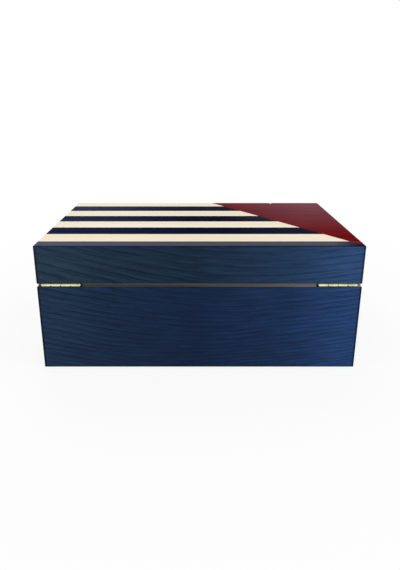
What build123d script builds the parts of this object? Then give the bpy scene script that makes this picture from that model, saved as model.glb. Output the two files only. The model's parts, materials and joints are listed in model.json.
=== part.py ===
from build123d import *
import math
import os

# Desktop humidor: a veneered box lined with cedar, with a hinged lid, a lift-out tray,
# a lid lock, and a hygrometer and a humidifier carried in the lid.
# Millimetres. X runs along the width, Y from the front (negative) to the back, Z up.
# The origin is under the middle of the felt pad that the box stands on.

# Outer shape
box_width = 380.0
box_depth = 260.0
box_height = 155.0
lid_height = 47.5
seam_gap = 0.4
edge_radius = 1.2
foot_chamfer = 0.6

# Walls, panels and veneer
veneer = 0.8
wall_core = 13.2
floor_panel = 8.0
floor_rebate = 8.0
lid_panel = 9.2
felt_thickness = 1.0
felt_inset = 3.0

# Cedar lining, and the lip that seals the lid
lining = 6.0
floor_lining = 4.0
lid_top_lining = 4.0
lip_height = 9.2
lip_clearance = 0.4
lip_chamfer = 1.5
lip_headroom = 0.5

# Inlay, unrolled from the back top edge over the top and down the front: stripes along X,
# a red triangle whose point lies on the middle of a blue stripe, and a star
first_stripe = 20.3
stripes_before_apex = 9
apex_below_edge = 94.7
apex_past_middle = 40.0
red_start = 0.8
star_radius = 70.0
star_from_side = 75.4
star_below_edge = 61.0

# Hinges, each a pair of leaves on a pin, let into the rims along a V groove
hinge_length = 46.0
hinge_from_side = 5.0
barrel_radius = 2.3
knuckle_count = 4
knuckle_gap = 0.2
knuckle_chamfer = 0.6
pin_radius = 0.8
pin_clearance = 0.05
leaf_width = 10.8
leaf_thickness = 1.6
leaf_reach = 1.0
knuckle_clearance = 0.25
barrel_slot_clearance = 0.2
slot_past_inner_end = 2.2
slot_past_outer_end = 0.3
groove_half_height = 2.8

# Countersunk slotted screws
screw_length = 10.0
screw_radius = 1.0
screw_head_radius = 2.1
screw_head_height = 1.1
screw_slot_width = 0.6
screw_slot_depth = 0.45
hinge_screw_pitch = 15.0
hinge_screw_from_axis = 6.6

# Lock in the front wall and its strike in the lid
lock_plate_length = 62.0
lock_plate_width = 9.0
lock_plate_thickness = 1.6
lock_screw_spread = 54.0
case_width = 42.0
case_depth = 7.0
case_wall = 1.0
case_below_key = 7.2
keyhole_drop = 15.3
strike_spread = 18.0
strike_thickness = 1.6
strike_width = 4.0
strike_length = 6.3
strike_eye_width = 2.6
strike_eye_height = 2.6
strike_eye_drop = 4.1
strike_clearance = 0.4

# Bolt
bolt_throw = 4.0
bolt_side_clearance = 0.3
bolt_left = 18.3
bolt_right = 13.0
bolt_above_key = 3.4
bolt_plate_height = 5.2
bolt_arm_width = 4.0
bolt_tongue_clearance = 0.5
bolt_eye_clearance = 0.3
talon_half_width = 5.0
talon_top = 5.9
guide_pin_radius = 1.0
guide_pin_places = (-12.0, 10.0)
guide_clearance = 0.05

# Key and its escutcheon
key_shaft_radius = 2.0
key_hole_radius = 2.5
key_slot_width = 2.6
key_bit_reach = 5.4
key_bit_thickness = 1.8
key_bit_length = 3.6
key_end_clearance = 0.5
key_stem = 16.0
key_bow_radius = 8.5
key_bow_hole = 4.6
key_bow_thickness = 2.6
key_bow_rounding = 1.0
key_bow_grip = 1.0
key_collar_radius = 3.2
key_collar_length = 1.6
key_collar_gap = 1.2
escutcheon_radius = 7.0
escutcheon_thickness = 0.9

# Lift-out tray, its ledges and its divider
tray_below_rim = 1.3
tray_height = 40.0
tray_clearance = 1.0
tray_wall = 6.0
tray_floor = 4.0
tray_notch_radius = 13.0
tray_slot_count = 15
tray_slot_pitch = 20.0
tray_slot_width = 6.0
tray_slot_end = 14.0
ledge_height = 6.0
ledge_width = 8.0
tray_divider_thickness = 5.0
tray_divider_place = 45.0
tray_divider_drop = 8.0
divider_end_clearance = 0.3
divider_dip_radius = 40.0
divider_dip = 5.0

# Divider of the lower store
base_divider_thickness = 6.0
base_divider_place = -55.0
base_divider_headroom = 6.0
vent_width = 8.0
vent_length = 40.0
vent_pitch = 64.0
vent_count = 3

# Hygrometer in the lid
hygrometer_from_side = 66.0
hygrometer_radius = 28.0
hygrometer_height = 14.0
hygrometer_wall = 1.6
hygrometer_back = 3.0
bezel_overlap = 2.2
bezel_thickness = 1.5
bezel_rounding = 0.8
glass_thickness = 1.5
glass_clearance = 0.1
dial_thickness = 1.5
needle_radius = 19.0
needle_tail = 7.0
needle_tip_width = 0.36
needle_hub_width = 1.5
needle_tail_width = 1.8
needle_thickness = 0.5
needle_above_dial = 2.4
needle_hub_radius = 2.2
needle_hub_height = 1.2
spindle_radius = 0.6
spindle_depth = 1.2
needle_reading = 54.0

# Humidifier in the lid
humidifier_place = -42.0
humidifier_length = 150.0
humidifier_width = 56.0
humidifier_height = 14.0
humidifier_wall = 2.0
humidifier_corner = 7.0
grille_thickness = 1.2
grille_recess = 0.6
grille_slot_count = 16
grille_slot_pitch = 8.0
grille_slot_width = 3.4
grille_slot_end = 7.0
magnet_radius = 6.0
magnet_thickness = 1.6
magnet_spread = 100.0
foam_clearance = 0.4

# Places that follow from the sizes above
half_width = box_width / 2
half_depth = box_depth / 2
seam_height = box_height - lid_height
rim_base = seam_height - seam_gap / 2
rim_lid = seam_height + seam_gap / 2
foot = felt_thickness
core_x = half_width - veneer
core_y = half_depth - veneer
shell_x = core_x - wall_core
shell_y = core_y - wall_core
store_x = shell_x - lining
store_y = shell_y - lining
floor_top = foot + floor_panel
store_floor = floor_top + floor_lining
lip_top = rim_base + lip_height
panel_top = box_height - veneer
panel_bottom = panel_top - lid_panel
lid_ceiling = panel_bottom - lid_top_lining
lid_lining_foot = lip_top + lip_headroom
unrolled_length = box_depth + box_height
apex_reach = half_width + apex_past_middle
apex_down = box_depth + apex_below_edge
stripe_pitch = (apex_down - first_stripe) / (stripes_before_apex + 0.5)
hinge_axis_y = half_depth - barrel_radius
hinge_x = half_width - hinge_from_side - hinge_length / 2
key_height = rim_base - keyhole_drop
lock_back = -shell_y
lock_front = lock_back - case_depth
lock_middle = (lock_back + lock_front) / 2
tray_top = rim_base - tray_below_rim
tray_bottom = tray_top - tray_height
tray_x = store_x - tray_clearance
tray_y = store_y - tray_clearance
hygrometer_place = store_x - hygrometer_from_side
margin = 5.0


def block(x0, x1, y0, y1, z0, z1):
    """A box between two opposite corners."""
    middle = Pos((x0 + x1) / 2, (y0 + y1) / 2, (z0 + z1) / 2)
    return middle * Box(x1 - x0, y1 - y0, z1 - z0)


def centred_block(half_x, half_y, z0, z1):
    """A box about the Z axis."""
    return block(-half_x, half_x, -half_y, half_y, z0, z1)


def upright(outline, z0, z1):
    """An upright prism over an outline in plan."""
    return Pos(0, 0, z0) * extrude(Polygon(*outline, align=None), amount=z1 - z0, dir=(0, 0, 1))


def disc(x, y, z0, z1, radius):
    """An upright cylinder."""
    return Pos(x, y, (z0 + z1) / 2) * Cylinder(radius, z1 - z0)


def rod_x(x0, x1, y, z, radius):
    """A cylinder along X."""
    return Pos((x0 + x1) / 2, y, z) * Rot(0, 90, 0) * Cylinder(radius, x1 - x0)


def rod_y(x, y0, y1, z, radius):
    """A cylinder along Y."""
    return Pos(x, (y0 + y1) / 2, z) * Rot(90, 0, 0) * Cylinder(radius, y1 - y0)


def save(node, *shapes):
    """Write one node, as the separate solids of the given shapes."""
    solids = [solid for shape in shapes for solid in shape.solids()]
    body = solids[0] if len(solids) == 1 else Compound(children=solids)
    body.label = node
    export_step(body, "parts/" + node + ".step")


# Outer form and what is cut from it

def rounded_block():
    """The finished outside of the closed box, with its edges eased."""
    body = centred_block(half_width, half_depth, foot, box_height)
    body = chamfer(body.faces().sort_by(Axis.Z)[0].edges(), foot_chamfer)
    eased = body.faces().sort_by(Axis.Z)[-1].edges() + body.edges().filter_by(Axis.Z)
    return fillet(eased, edge_radius)


def groove_outline(face, outward):
    """A V groove cut into an upright face, as (place, height) points. outward is 1 or -1."""
    tip = face - outward * barrel_radius
    mouth = face + outward * margin
    spread = groove_half_height * (barrel_radius + margin) / barrel_radius
    return [(tip, seam_height), (mouth, seam_height + spread), (mouth, seam_height - spread)]


def seam_grooves():
    """The V grooves along the seam: at the back with its point on the hinge axis, and on both sides."""
    back = groove_outline(half_depth, 1)
    grooves = [extrude(Plane.YZ * Polygon(*back, align=None), amount=box_width, both=True)]
    for outward in (-1, 1):
        side = groove_outline(outward * half_width, outward)
        grooves.append(extrude(Plane.XZ * Polygon(*side, align=None), amount=box_depth, both=True))
    return grooves


def hinge_sides():
    """The middle of each hinge, with the direction of the nearer side of the box."""
    return [(-hinge_x, -1), (hinge_x, 1)]


def barrel_slots():
    """The room for the hinge barrels in the wood."""
    slots = []
    for middle, outward in hinge_sides():
        inner_end = middle - outward * (hinge_length / 2 + slot_past_inner_end)
        outer_end = middle + outward * (hinge_length / 2 + slot_past_outer_end)
        radius = barrel_radius + barrel_slot_clearance
        slots.append(rod_x(min(inner_end, outer_end), max(inner_end, outer_end),
                           hinge_axis_y, seam_height, radius))
    return slots


# Screws, drawn head up, with the head's face at the given height

def screw_body(x, y, z, up):
    """A countersunk screw without its slot. up is 1 where the head looks up, -1 where it looks down."""
    head = Pos(0, 0, -screw_head_height / 2) * Cone(screw_radius, screw_head_radius, screw_head_height)
    shank = disc(0, 0, -screw_length, -screw_head_height, screw_radius)
    body = head + shank
    turn = Rot(0, 0, 0) if up > 0 else Rot(180, 0, 0)
    return Pos(x, y, z) * turn * body


def screw(x, y, z, up):
    """A countersunk screw with a straight slot."""
    low = z - screw_slot_depth if up > 0 else z - margin
    high = z + margin if up > 0 else z + screw_slot_depth
    slot = block(x - margin, x + margin, y - screw_slot_width / 2, y + screw_slot_width / 2, low, high)
    return screw_body(x, y, z, up) - slot


def hinge_screw_places():
    """Plan positions of the screws in one set of leaves."""
    y = hinge_axis_y - hinge_screw_from_axis
    return [(middle + step * hinge_screw_pitch, y) for middle, _ in hinge_sides() for step in (-1, 0, 1)]


def lock_screw_places():
    """Plan positions of the screws in the lock plate and in the strike plate."""
    y = lock_back - lock_plate_width / 2
    return [(side * lock_screw_spread / 2, y) for side in (-1, 1)]


# Hinges

def leaf_block(middle, z0, z1):
    """A plain leaf, which is also the shape of its mortise."""
    return block(middle - hinge_length / 2, middle + hinge_length / 2,
                 hinge_axis_y - leaf_width, hinge_axis_y - leaf_reach, z0, z1)


def hinge_leaf(middle, z0, z1, own_parity):
    """One leaf with its knuckles. own_parity is 0 or 1 and picks every other knuckle."""
    pitch = hinge_length / knuckle_count
    leaf = leaf_block(middle, z0, z1)
    for index in range(knuckle_count):
        start = middle - hinge_length / 2 + index * pitch
        if index % 2 == own_parity:
            continue
        room = rod_x(start - knuckle_gap / 2, start + pitch + knuckle_gap / 2,
                     hinge_axis_y, seam_height, barrel_radius + knuckle_clearance)
        leaf -= room
    for index in range(knuckle_count):
        start = middle - hinge_length / 2 + index * pitch
        if index % 2 != own_parity:
            continue
        knuckle = rod_x(start + knuckle_gap / 2, start + pitch - knuckle_gap / 2,
                        hinge_axis_y, seam_height, barrel_radius)
        knuckle = chamfer(knuckle.edges().filter_by(GeomType.CIRCLE), knuckle_chamfer)
        leaf += knuckle
    bore = rod_x(middle - hinge_length, middle + hinge_length, hinge_axis_y, seam_height,
                 pin_radius + pin_clearance)
    return leaf - bore


def make_hinges():
    base_leaves = []
    lid_leaves = []
    pins = []
    for middle, _ in hinge_sides():
        base_leaves.append(hinge_leaf(middle, rim_base - leaf_thickness, rim_base, 0))
        lid_leaves.append(hinge_leaf(middle, rim_lid, rim_lid + leaf_thickness, 1))
        half = hinge_length / 2 - knuckle_chamfer
        pins.append(rod_x(middle - half, middle + half, hinge_axis_y, seam_height, pin_radius))
    for x, y in hinge_screw_places():
        base_leaves = [leaf - screw_body(x, y, rim_base, 1) for leaf in base_leaves]
        lid_leaves = [leaf - screw_body(x, y, rim_lid, -1) for leaf in lid_leaves]
    save("hinge_base_leaves", *base_leaves)
    save("hinge_lid_leaves", *lid_leaves)
    save("hinge_pins", *pins)
    save("hinge_base_screws", *[screw(x, y, rim_base, 1) for x, y in hinge_screw_places()])
    save("hinge_lid_screws", *[screw(x, y, rim_lid, -1) for x, y in hinge_screw_places()])


# Wooden frame of the base and of the lid

def mitred_ring(z0, z1):
    """Four walls with mitred corners, by name."""
    outer = [(-core_x, -core_y), (core_x, -core_y), (core_x, core_y), (-core_x, core_y)]
    inner = [(-shell_x, -shell_y), (shell_x, -shell_y), (shell_x, shell_y), (-shell_x, shell_y)]
    walls = {}
    for index, name in enumerate(("front", "right", "back", "left")):
        after = (index + 1) % 4
        walls[name] = upright([outer[index], outer[after], inner[after], inner[index]], z0, z1)
    return walls


def keyhole(y0, y1):
    """The keyhole's tunnel between two depths: a round hole with a slot below it for the key's bit."""
    slot_foot = key_height - key_bit_reach - (key_hole_radius - key_shaft_radius)
    slot = block(-key_slot_width / 2, key_slot_width / 2, y0, y1, slot_foot, key_height)
    return rod_y(0, y0, y1, key_height, key_hole_radius) + slot


def lock_plate(z0, z1):
    """The plate let into a rim, for the lock below and for the strike above."""
    half = lock_plate_length / 2
    return block(-half, half, lock_back - lock_plate_width, lock_back, z0, z1)


def make_base_frame():
    walls = mitred_ring(foot, rim_base)
    cuts = [centred_block(shell_x + floor_rebate, shell_y + floor_rebate, foot, floor_top)]
    cuts += seam_grooves() + barrel_slots()
    mortise_floor = rim_base - leaf_thickness
    cuts += [leaf_block(middle, mortise_floor, rim_base) for middle, _ in hinge_sides()]
    cuts += [screw_body(x, y, rim_base, 1) for x, y in hinge_screw_places()]
    for name in walls:
        for cut in cuts:
            walls[name] -= cut
    front_cuts = [lock_case_block(), lock_plate(rim_base - lock_plate_thickness, rim_base)]
    front_cuts.append(keyhole(-half_depth - margin, lock_front))
    front_cuts += [screw_body(x, y, rim_base, 1) for x, y in lock_screw_places()]
    for cut in front_cuts:
        walls["front"] -= cut
    for name, wall in walls.items():
        save("base_" + name + "_wall", wall)
    save("base_floor_panel", centred_block(shell_x + floor_rebate, shell_y + floor_rebate, foot, floor_top))
    save("base_felt", centred_block(half_width - felt_inset, half_depth - felt_inset, 0, foot))


def make_lid_frame():
    rails = mitred_ring(rim_lid, panel_bottom)
    cuts = seam_grooves() + barrel_slots()
    cuts += [leaf_block(middle, rim_lid, rim_lid + leaf_thickness) for middle, _ in hinge_sides()]
    cuts += [screw_body(x, y, rim_lid, -1) for x, y in hinge_screw_places()]
    for name in rails:
        for cut in cuts:
            rails[name] -= cut
    rails["front"] -= lock_plate(rim_lid, rim_lid + lock_plate_thickness)
    for x, y in lock_screw_places():
        rails["front"] -= screw_body(x, y, rim_lid, -1)
    for name, rail in rails.items():
        save("lid_" + name + "_rail", rail)
    save("lid_top_panel", centred_block(core_x, core_y, panel_bottom, panel_top))


# Veneer skins and the striped inlay

def space_under(outline, face):
    """The space under an outline drawn on the unrolled top and front, at one of these faces.

    Each point is (from the red side, from the back top edge), measured over the top and down the front.
    """
    if face == "top":
        on_top = [(-half_width + along, half_depth - down) for along, down in outline]
        return upright(on_top, panel_top, box_height + margin)
    on_front = [(-half_width + along, box_height - (down - box_depth)) for along, down in outline]
    front_plane = Plane.XZ.offset(core_y)
    return extrude(front_plane * Polygon(*on_front, align=None), amount=veneer + margin, dir=(0, -1, 0))


def red_outline():
    """The triangular field, with its point on the middle of a stripe."""
    slope = (apex_reach - red_start) / apex_down
    end = unrolled_length + margin
    return [
        (-margin, -margin),
        (red_start - slope * margin, -margin),
        (apex_reach, apex_down),
        (apex_reach - slope * (end - apex_down), end),
        (-margin, end),
    ]


def star_outline():
    """A five-pointed star with one point towards the back."""
    inner = star_radius * math.sin(math.radians(18)) / math.sin(math.radians(126))
    points = []
    for index in range(10):
        radius = star_radius if index % 2 == 0 else inner
        angle = math.radians(36 * index)
        points.append((star_from_side + radius * math.sin(angle),
                       box_depth + star_below_edge - radius * math.cos(angle)))
    return points


def stripe_outlines(colour):
    """The outlines of the blue or the white stripes, counted from the triangle's point."""
    half = stripe_pitch / 2
    first = -(stripes_before_apex + 1)
    last = math.ceil((unrolled_length - apex_down + half) / stripe_pitch)
    wanted = {"blue": 0, "white": 1}[colour]
    outlines = []
    for index in range(first, last + 1):
        if index % 2 != wanted:
            continue
        low = apex_down + index * stripe_pitch - half
        high = low + stripe_pitch
        right = box_width + margin
        outlines.append([(-margin, low), (right, low), (right, high), (-margin, high)])
    return outlines


def without(piece, spaces):
    for space in spaces:
        piece -= space
    return piece


def fitted(skins, outline, others=()):
    """The part of the skins under one outline and outside the others, joined over the front edge."""
    whole = Part()
    for face, skin in skins.items():
        skin = without(skin, [space_under(other, face) for other in others])
        for piece in (skin & space_under(outline, face)).solids():
            whole += piece
    return whole


def make_inlay(name, skins):
    """Stripes, red field and star of one half of the box, fitted edge to edge."""
    red = red_outline()
    star = star_outline()
    for colour in ("blue", "white"):
        stripes = [fitted(skins, outline, [red]) for outline in stripe_outlines(colour)]
        save(name + "_" + colour + "_stripes", *stripes)
    save(name + "_red_field", fitted(skins, red, [star]))
    save(name + "_star", fitted(skins, star))


def make_veneers():
    outside = rounded_block()
    cuts = seam_grooves() + barrel_slots()
    halves = {"base": (foot, rim_base), "lid": (rim_lid, panel_top)}
    for name, (low, high) in halves.items():
        back = outside & block(-box_width, box_width, core_y, box_depth, low, high)
        save(name + "_back_veneer", without(back, cuts))
        sides = []
        for x0, x1 in ((-box_width, -core_x), (core_x, box_width)):
            side = outside & block(x0, x1, -core_y, core_y, low, high)
            sides.append(without(side, cuts))
        save(name + "_side_veneers", *sides)
    base_front = outside & block(-box_width, box_width, -box_depth, -core_y, foot, rim_base)
    lid_front = outside & block(-box_width, box_width, -box_depth, -core_y, rim_lid, panel_top)
    lid_top = outside & block(-box_width, box_width, -box_depth, box_depth, panel_top, box_height + margin)
    base_front = without(base_front, cuts + [keyhole(-box_depth, 0)])
    make_inlay("base", {"front": base_front})
    make_inlay("lid", {"top": lid_top, "front": without(lid_front, cuts)})


# Cedar lining

def four_boards(ring, low, high):
    """A lining ring cut into front and back boards with the side boards butted between them."""
    return {
        "front": ring & block(-shell_x, shell_x, -shell_y, -store_y, low, high),
        "back": ring & block(-shell_x, shell_x, store_y, shell_y, low, high),
        "left": ring & block(-shell_x, -store_x, -store_y, store_y, low, high),
        "right": ring & block(store_x, shell_x, -store_y, store_y, low, high),
    }


def make_linings():
    lip = centred_block(shell_x - lip_clearance, shell_y - lip_clearance, rim_base, lip_top)
    lip = chamfer(lip.faces().sort_by(Axis.Z)[-1].edges(), lip_chamfer)
    base_ring = centred_block(shell_x, shell_y, floor_top, rim_base) + lip
    base_ring -= centred_block(store_x, store_y, floor_top - margin, lip_top + margin)
    for name, board in four_boards(base_ring, floor_top, lip_top).items():
        save("base_lining_" + name, board)
    save("base_lining_floor", centred_block(store_x, store_y, floor_top, store_floor))
    lid_ring = centred_block(shell_x, shell_y, lid_lining_foot, lid_ceiling)
    lid_ring -= centred_block(store_x, store_y, lid_lining_foot - margin, lid_ceiling + margin)
    for name, board in four_boards(lid_ring, lid_lining_foot, lid_ceiling).items():
        save("lid_lining_" + name, board)
    save("lid_lining_top", centred_block(shell_x, shell_y, lid_ceiling, panel_bottom))
    ledges = []
    for x0, x1 in ((-store_x, -store_x + ledge_width), (store_x - ledge_width, store_x)):
        ledges.append(block(x0, x1, -store_y, store_y, tray_bottom - ledge_height, tray_bottom))
    save("tray_ledges", *ledges)


# Lock, key and strike

def lock_case_block():
    """The outside of the lock case, which is also the shape of its mortise."""
    half = case_width / 2
    low = key_height - case_below_key
    return block(-half, half, lock_front, lock_back, low, rim_base - lock_plate_thickness)


def strike_places():
    return [side * strike_spread / 2 for side in (-1, 1)]


def bolt_guides():
    """Studs across the lock case that carry the bolt."""
    middle = key_height + bolt_above_key + bolt_plate_height / 2
    return [(x, middle) for x in guide_pin_places]


def make_lock_case():
    half = case_width / 2 - case_wall
    low = key_height - case_below_key + case_wall
    high = rim_base - lock_plate_thickness - case_wall
    room = block(-half, half, lock_front + case_wall, lock_back - case_wall, low, high)
    case = lock_case_block() - room
    case += lock_plate(rim_base - lock_plate_thickness, rim_base)
    case -= keyhole(lock_front - margin, lock_front + case_wall)
    for x in strike_places():
        reach_x = strike_thickness / 2 + strike_clearance
        reach_y = strike_width / 2 + strike_clearance
        case -= block(x - reach_x, x + reach_x, lock_middle - reach_y, lock_middle + reach_y,
                      high, rim_base)
    for x, z in bolt_guides():
        case += rod_y(x, lock_front + case_wall, lock_back - case_wall, z, guide_pin_radius)
    for x, y in lock_screw_places():
        case -= screw_body(x, y, rim_base, 1)
    save("lock_case", case)
    save("lock_screws", *[screw(x, y, rim_base, 1) for x, y in lock_screw_places()])


def make_lock_strike():
    strike = lock_plate(rim_lid, rim_lid + lock_plate_thickness)
    for x in strike_places():
        half_x = strike_thickness / 2
        half_y = strike_width / 2
        tongue = block(x - half_x, x + half_x, lock_middle - half_y, lock_middle + half_y,
                       rim_lid - strike_length, rim_lid)
        eye_z = rim_lid - strike_eye_drop
        eye = block(x - strike_width, x + strike_width,
                    lock_middle - strike_eye_width / 2, lock_middle + strike_eye_width / 2,
                    eye_z - strike_eye_height / 2, eye_z + strike_eye_height / 2)
        strike += tongue - eye
    for x, y in lock_screw_places():
        strike -= screw_body(x, y, rim_lid, -1)
    save("lock_strike", strike)
    save("lock_strike_screws", *[screw(x, y, rim_lid, -1) for x, y in lock_screw_places()])


def make_lock_bolt():
    """The bolt at rest, drawn back from the eyes of the strike. It moves towards +X to lock."""
    front = lock_front + case_wall + bolt_side_clearance
    back = lock_back - case_wall - bolt_side_clearance
    low = key_height + bolt_above_key
    high = low + bolt_plate_height
    bolt = block(-bolt_left, bolt_right, front, back, low, high)
    eye_z = rim_lid - strike_eye_drop
    tongue_y = strike_eye_width / 2 - bolt_eye_clearance
    tongue_z = strike_eye_height / 2 - bolt_eye_clearance
    for x in strike_places():
        tip = x - strike_thickness / 2 - bolt_tongue_clearance
        root = tip - bolt_throw
        bolt += block(root - bolt_arm_width, root, front, back, high, eye_z + tongue_z)
        bolt += block(root, tip, lock_middle - tongue_y, lock_middle + tongue_y,
                      eye_z - tongue_z, eye_z + tongue_z)
    talon_middle = -bolt_throw / 2
    bolt -= block(talon_middle - talon_half_width, talon_middle + talon_half_width,
                  front - margin, back + margin, low - margin, key_height + talon_top)
    radius = guide_pin_radius + guide_clearance
    for x, z in bolt_guides():
        bolt -= block(x - bolt_throw, x, front - margin, back + margin, z - radius, z + radius)
        bolt -= rod_y(x, front - margin, back + margin, z, radius)
        bolt -= rod_y(x - bolt_throw, front - margin, back + margin, z, radius)
    save("lock_bolt", bolt)


def make_key():
    """The key in its hole, with its bit hanging down."""
    inner_end = lock_back - case_wall - key_end_clearance
    bow_middle = -half_depth - key_stem
    face = -half_depth - escutcheon_thickness
    shaft = rod_y(0, bow_middle + key_bow_hole + key_bow_grip, inner_end, key_height, key_shaft_radius)
    bit = block(-key_bit_thickness / 2, key_bit_thickness / 2, inner_end - key_bit_length, inner_end,
                key_height - key_bit_reach, key_height)
    bow = Pos(0, bow_middle, key_height) * Rot(0, 90, 0) * Cylinder(key_bow_radius, key_bow_thickness)
    bow = fillet(bow.edges().filter_by(GeomType.CIRCLE), key_bow_rounding)
    through = key_bow_thickness + margin
    bow -= Pos(0, bow_middle, key_height) * Rot(0, 90, 0) * Cylinder(key_bow_hole, through)
    collar_end = face - key_collar_gap
    collar = rod_y(0, collar_end - key_collar_length, collar_end, key_height, key_collar_radius)
    collar = fillet(collar.edges().filter_by(GeomType.CIRCLE), key_collar_length / 3)
    save("key", shaft + bit + bow + collar)
    plate = rod_y(0, face, -half_depth, key_height, escutcheon_radius)
    plate = fillet(plate.edges().filter_by(GeomType.CIRCLE).sort_by(Axis.Y)[0], escutcheon_thickness / 2)
    save("keyhole_escutcheon", plate - keyhole(face - margin, -half_depth + margin))


# Tray and dividers

def make_tray():
    outline = centred_block(tray_x, tray_y, tray_bottom, tray_top)
    inside_x = tray_x - tray_wall
    inside_y = tray_y - tray_wall
    ring = outline - centred_block(inside_x, inside_y, tray_bottom - margin, tray_top + margin)
    notch = rod_x(-box_width, box_width, 0, tray_top, tray_notch_radius)
    boards = [
        ring & block(-tray_x, tray_x, -tray_y, -inside_y, tray_bottom, tray_top),
        ring & block(-tray_x, tray_x, inside_y, tray_y, tray_bottom, tray_top),
        (ring & block(-tray_x, -inside_x, -inside_y, inside_y, tray_bottom, tray_top)) - notch,
        (ring & block(inside_x, tray_x, -inside_y, inside_y, tray_bottom, tray_top)) - notch,
    ]
    save("tray_frame", *boards)
    floor = centred_block(inside_x, inside_y, tray_bottom, tray_bottom + tray_floor)
    slot_length = 2 * (inside_y - tray_slot_end)
    for index in range(tray_slot_count):
        x = (index - (tray_slot_count - 1) / 2) * tray_slot_pitch
        slot = Pos(x, 0, tray_bottom) * extrude(SlotOverall(slot_length, tray_slot_width, rotation=90),
                                                amount=tray_floor + margin, both=True)
        floor -= slot
    save("tray_floor", floor)
    divider_top = tray_top - tray_divider_drop
    half_y = inside_y - divider_end_clearance
    half_x = tray_divider_thickness / 2
    divider = block(tray_divider_place - half_x, tray_divider_place + half_x, -half_y, half_y,
                    tray_bottom + tray_floor, divider_top)
    dip_height = divider_top + divider_dip_radius - divider_dip
    dip = rod_x(-box_width, box_width, 0, dip_height, divider_dip_radius)
    save("tray_divider", divider - dip)


def make_base_divider():
    half_x = base_divider_thickness / 2
    half_y = store_y - divider_end_clearance
    top = tray_bottom - ledge_height - base_divider_headroom
    board = block(base_divider_place - half_x, base_divider_place + half_x, -half_y, half_y,
                  store_floor, top)
    vent_height = (store_floor + top) / 2
    for index in range(vent_count):
        y = (index - (vent_count - 1) / 2) * vent_pitch
        vent_plane = Plane(origin=(base_divider_place, y, vent_height), x_dir=(0, 1, 0), z_dir=(1, 0, 0))
        board -= extrude(vent_plane * SlotOverall(vent_length, vent_width), amount=margin, both=True)
    save("base_divider", board)


# Hygrometer and humidifier

def make_hygrometer():
    x = hygrometer_place
    face = lid_ceiling - hygrometer_height
    back = lid_ceiling - hygrometer_back
    inner_radius = hygrometer_radius - hygrometer_wall
    case = disc(x, 0, face, lid_ceiling, hygrometer_radius)
    case = fillet(case.edges().filter_by(GeomType.CIRCLE).sort_by(Axis.Z)[0], bezel_rounding)
    case -= disc(x, 0, face + bezel_thickness, back, inner_radius)
    case -= disc(x, 0, face - margin, back, inner_radius - bezel_overlap)
    save("hygrometer_case", case)
    glass_radius = inner_radius - glass_clearance
    glass_foot = face + bezel_thickness
    save("hygrometer_glass", disc(x, 0, glass_foot, glass_foot + glass_thickness, glass_radius))
    dial_face = back - dial_thickness
    bore = disc(x, 0, dial_face - margin, back + margin, spindle_radius + pin_clearance)
    save("hygrometer_dial", disc(x, 0, dial_face, back, glass_radius) - bore)
    hub_foot = dial_face - needle_above_dial
    hub = disc(0, 0, hub_foot - needle_hub_height, hub_foot + needle_thickness, needle_hub_radius)
    spindle = disc(0, 0, hub_foot, dial_face + spindle_depth, spindle_radius)
    pointer = [
        (-needle_tail_width / 2, -needle_tail),
        (needle_tail_width / 2, -needle_tail),
        (needle_hub_width / 2, 0),
        (needle_tip_width / 2, needle_radius),
        (-needle_tip_width / 2, needle_radius),
        (-needle_hub_width / 2, 0),
    ]
    blade = upright(pointer, hub_foot, hub_foot + needle_thickness)
    # Seen from below, 12 o'clock on the dial is towards the front of the box.
    needle = Rot(0, 0, 180 + needle_reading) * (blade + hub + spindle)
    save("hygrometer_needle", Pos(x, 0, 0) * needle)


def rounded_slab(length, width, corner, z0, z1):
    """A slab with rounded corners in plan, in the humidifier's place."""
    outline = RectangleRounded(length, width, corner)
    return Pos(humidifier_place, 0, z0) * extrude(outline, amount=z1 - z0)


def make_humidifier():
    face = lid_ceiling - humidifier_height
    roof = lid_ceiling - humidifier_wall
    inner_length = humidifier_length - 2 * humidifier_wall
    inner_width = humidifier_width - 2 * humidifier_wall
    inner_corner = humidifier_corner - humidifier_wall
    case = rounded_slab(humidifier_length, humidifier_width, humidifier_corner, face, lid_ceiling)
    case -= rounded_slab(inner_length, inner_width, inner_corner, face - margin, roof)
    magnets = []
    for side in (-1, 1):
        magnet_x = humidifier_place + side * magnet_spread / 2
        magnet = disc(magnet_x, 0, lid_ceiling - magnet_thickness, lid_ceiling, magnet_radius)
        case -= magnet
        magnets.append(magnet)
    save("humidifier_case", case)
    save("humidifier_magnets", *magnets)
    grille_foot = face + grille_recess
    grille_top = grille_foot + grille_thickness
    grille = rounded_slab(inner_length, inner_width, inner_corner, grille_foot, grille_top)
    slot_length = inner_width - 2 * grille_slot_end
    for index in range(grille_slot_count):
        x = humidifier_place + (index - (grille_slot_count - 1) / 2) * grille_slot_pitch
        slot = SlotOverall(slot_length, grille_slot_width, rotation=90)
        grille -= Pos(x, 0, grille_foot) * extrude(slot, amount=grille_thickness + margin, both=True)
    save("humidifier_grille", grille)
    foam = rounded_slab(inner_length - 2 * foam_clearance, inner_width - 2 * foam_clearance,
                        inner_corner - foam_clearance, grille_top, roof)
    save("humidifier_foam", foam)


os.makedirs("parts", exist_ok=True)
make_base_frame()
make_lid_frame()
make_veneers()
make_linings()
make_hinges()
make_lock_case()
make_lock_strike()
make_lock_bolt()
make_key()
make_tray()
make_base_divider()
make_hygrometer()
make_humidifier()
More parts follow.
